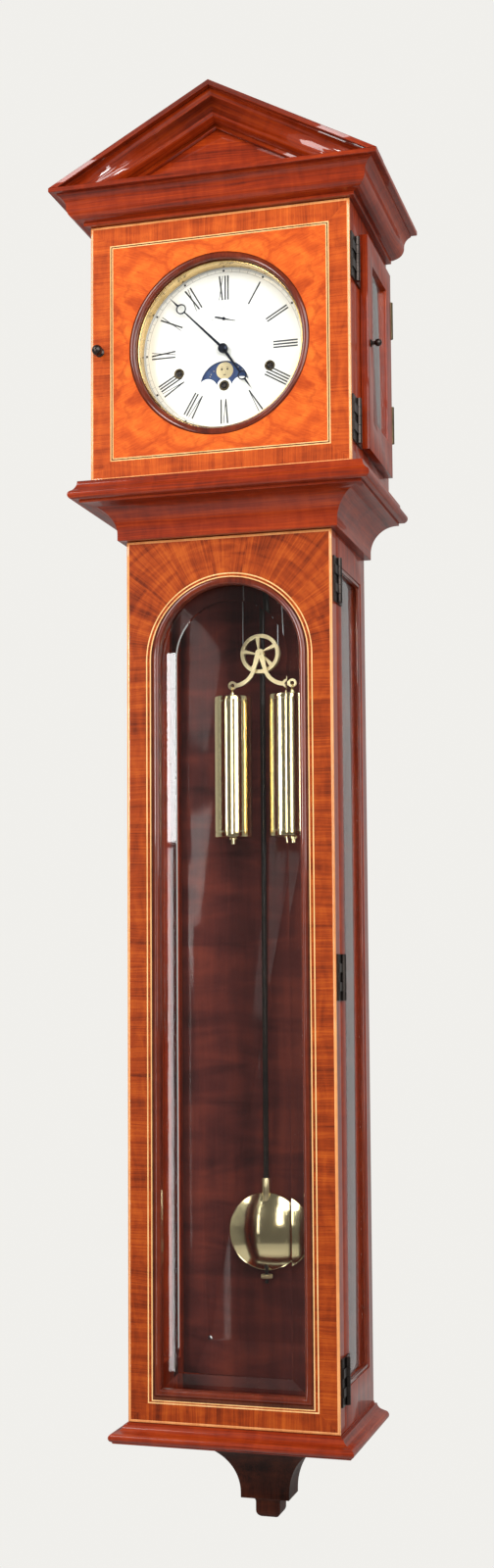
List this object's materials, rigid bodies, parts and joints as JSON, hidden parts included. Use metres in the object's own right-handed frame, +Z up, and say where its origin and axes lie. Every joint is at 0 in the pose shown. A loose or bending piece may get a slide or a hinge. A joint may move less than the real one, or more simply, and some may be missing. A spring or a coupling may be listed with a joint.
{
  "type": "wall clock",
  "caption": "Weight-driven wall regulator with glazed trunk, pedimented hood, opening doors, moon-phase dial, pendulum and twin pulley weights.",
  "frame": {"origin": "centre of the hanging hole at the wall face of the backboard", "axes": "+Z up along the case, +Y out of the back face into the wall, the dial faces -Y"},
  "size_m": [0.356, 0.243, 1.5275],
  "materials": {
    "hood_veneer": "burr veneer, high gloss",
    "trunk_veneer": "mahogany veneer, high gloss",
    "case_mahogany": "polished mahogany",
    "moulding_mahogany": "polished mahogany",
    "dark_backboard": "dark stained mahogany",
    "red_bead": "polished rosewood bead",
    "ebonised_wood": "ebonised",
    "clear_glass": "clear",
    "white_enamel": "enamelled",
    "blued_steel": "blued",
    "moon_blue": "painted",
    "steel": "bright",
    "cast_iron": "painted",
    "brass": "satin",
    "polished_brass": "polished",
    "aged_brass": "aged",
    "dark_bronze": "dark bronzed"
  },
  "bodies": {
    "case": {"backboard": "dark_backboard", "trunk_side_left": "case_mahogany", "trunk_side_right": "case_mahogany", "trunk_side_glass": "clear_glass", "trunk_glazing_beads": "red_bead", "bottom_board": "case_mahogany", "base_moulding": "moulding_mahogany", "bottom_bracket": "moulding_mahogany", "waist_moulding": "moulding_mahogany", "hood_boards": "case_mahogany", "hood_side_left": "case_mahogany", "hood_side_right": "case_mahogany", "cornice": "moulding_mahogany", "raking_cornice": "moulding_mahogany", "tympanum": "moulding_mahogany", "roof_boards": "case_mahogany", "hanger_plate": "aged_brass", "case_hinge_leaves": "dark_bronze", "side_hinge_leaves": "aged_brass", "movement_bracket": "cast_iron", "movement_frame": "brass", "suspension_cock": "brass", "dial": "white_enamel", "chime_gong": "steel"},
    "hood_door": {"hood_door_frame": "hood_veneer", "hood_door_bead": "red_bead", "bezel_ring": "polished_brass", "hood_glass": "clear_glass", "hood_door_leaves": "dark_bronze", "hood_door_knob": "dark_bronze"},
    "trunk_door": {"trunk_door_frame": "trunk_veneer", "trunk_door_bead": "red_bead", "trunk_glass": "clear_glass", "trunk_door_leaves": "dark_bronze"},
    "catch_upper": {"trunk_catch_upper": "dark_bronze"},
    "catch_lower": {"trunk_catch_lower": "dark_bronze"},
    "side_door_left": {"side_door_left": "case_mahogany", "side_glass_left": "clear_glass", "side_fittings_left": "aged_brass"},
    "side_door_right": {"side_door_right": "case_mahogany", "side_glass_right": "clear_glass", "side_fittings_right": "aged_brass"},
    "minute": {"minute_hand": "blued_steel", "center_wheel": "brass"},
    "hour": {"hour_hand": "blued_steel"},
    "seconds": {"seconds_hand": "blued_steel", "escape_wheel": "brass"},
    "moon": {"moon_disc": "moon_blue"},
    "anchor": {"pallet_anchor": "steel"},
    "pendulum": {"pendulum_rod": "ebonised_wood", "pendulum_bob": "polished_brass"},
    "rating_nut": {"rating_nut": "brass"},
    "drum": {"time_drum": "brass"},
    "strike_winding": {"strike_barrel": "brass"},
    "chime_winding": {"chime_barrel": "brass"},
    "hammer_set": {"hammers": "brass"},
    "weight_carriage": {"weight_yoke": "brass", "drive_weights": "polished_brass", "weight_cable": "steel"},
    "pulley": {"pulley_wheel": "brass"}
  },
  "joints": [
    {"name": "hood_door_swing", "type": "hinge", "parent": "case", "child": "hood_door", "pos_m": [0.1454, -0.18525, -0.11], "axis": [0, 0, 1], "range_deg": [0, 110]},
    {"name": "trunk_door_swing", "type": "hinge", "parent": "case", "child": "trunk_door", "pos_m": [0.1159, -0.15225, -0.775], "axis": [0, 0, 1], "range_deg": [0, 110]},
    {"name": "catch_upper_turn", "type": "hinge", "parent": "case", "child": "catch_upper", "pos_m": [-0.112, -0.144, -0.449], "axis": [1, 0, 0], "range_deg": [0, 90]},
    {"name": "catch_lower_turn", "type": "hinge", "parent": "case", "child": "catch_lower", "pos_m": [-0.112, -0.144, -1.104], "axis": [1, 0, 0], "range_deg": [0, 90]},
    {"name": "side_door_left_swing", "type": "hinge", "parent": "case", "child": "side_door_left", "pos_m": [-0.1495, -0.0195, -0.108], "axis": [0, 0, -1], "range_deg": [0, 90]},
    {"name": "side_door_right_swing", "type": "hinge", "parent": "case", "child": "side_door_right", "pos_m": [0.1495, -0.0195, -0.108], "axis": [0, 0, 1], "range_deg": [0, 90]},
    {"name": "minute_turn", "type": "hinge", "parent": "case", "child": "minute", "pos_m": [0, -0.188, -0.111], "axis": [0, 1, 0], "continuous": true},
    {"name": "hour_turn", "type": "hinge", "parent": "case", "child": "hour", "pos_m": [0, -0.186, -0.111], "axis": [0, 1, 0], "continuous": true},
    {"name": "seconds_turn", "type": "hinge", "parent": "case", "child": "seconds", "pos_m": [0, -0.184, -0.0774], "axis": [0, 1, 0], "continuous": true},
    {"name": "moon_turn", "type": "hinge", "parent": "case", "child": "moon", "pos_m": [0, -0.18, -0.1502], "axis": [0, 1, 0], "continuous": true},
    {"name": "pendulum_swing", "type": "hinge", "parent": "case", "child": "pendulum", "pos_m": [0, -0.026, -0.053], "axis": [0, 1, 0], "range_deg": [-2, 2]},
    {"name": "anchor_rock", "type": "hinge", "parent": "case", "child": "anchor", "pos_m": [0, -0.065, -0.053], "axis": [0, 1, 0], "range_deg": [-2, 2]},
    {"name": "rating_nut_turn", "type": "hinge", "parent": "pendulum", "child": "rating_nut", "pos_m": [0, -0.026, -1.107], "axis": [0, 0, 1], "continuous": true},
    {"name": "weight_drop", "type": "slide", "parent": "case", "child": "weight_carriage", "axis": [0, 0, -1], "range_m": [-0.19, 0.36], "deforming": ["weight_cable"]},
    {"name": "pulley_turn", "type": "hinge", "parent": "weight_carriage", "child": "pulley", "pos_m": [0.006, -0.058, -0.42], "axis": [0, 1, 0], "range_deg": [-1040, 560]},
    {"name": "drum_turn", "type": "hinge", "parent": "case", "child": "drum", "pos_m": [0, -0.058, -0.1502], "axis": [0, 1, 0], "range_deg": [-2960, 1570]},
    {"name": "strike_winding_turn", "type": "hinge", "parent": "case", "child": "strike_winding", "pos_m": [-0.05, -0.12, -0.133], "axis": [0, 1, 0], "continuous": true},
    {"name": "chime_winding_turn", "type": "hinge", "parent": "case", "child": "chime_winding", "pos_m": [0.05, -0.12, -0.133], "axis": [0, 1, 0], "continuous": true},
    {"name": "hammer_lift", "type": "hinge", "parent": "case", "child": "hammer_set", "pos_m": [-0.066, -0.04, -0.081], "axis": [0, 1, 0], "range_deg": [-5, 15]}
  ],
  "couplings": [
    {"joint": "hour_turn", "follows": "minute_turn", "ratio": 0.083333},
    {"joint": "anchor_rock", "follows": "pendulum_swing", "ratio": 1},
    {"joint": "pulley_turn", "follows": "weight_drop", "rad_per_m": -50},
    {"joint": "drum_turn", "follows": "weight_drop", "rad_per_m": -142.86}
  ]
}
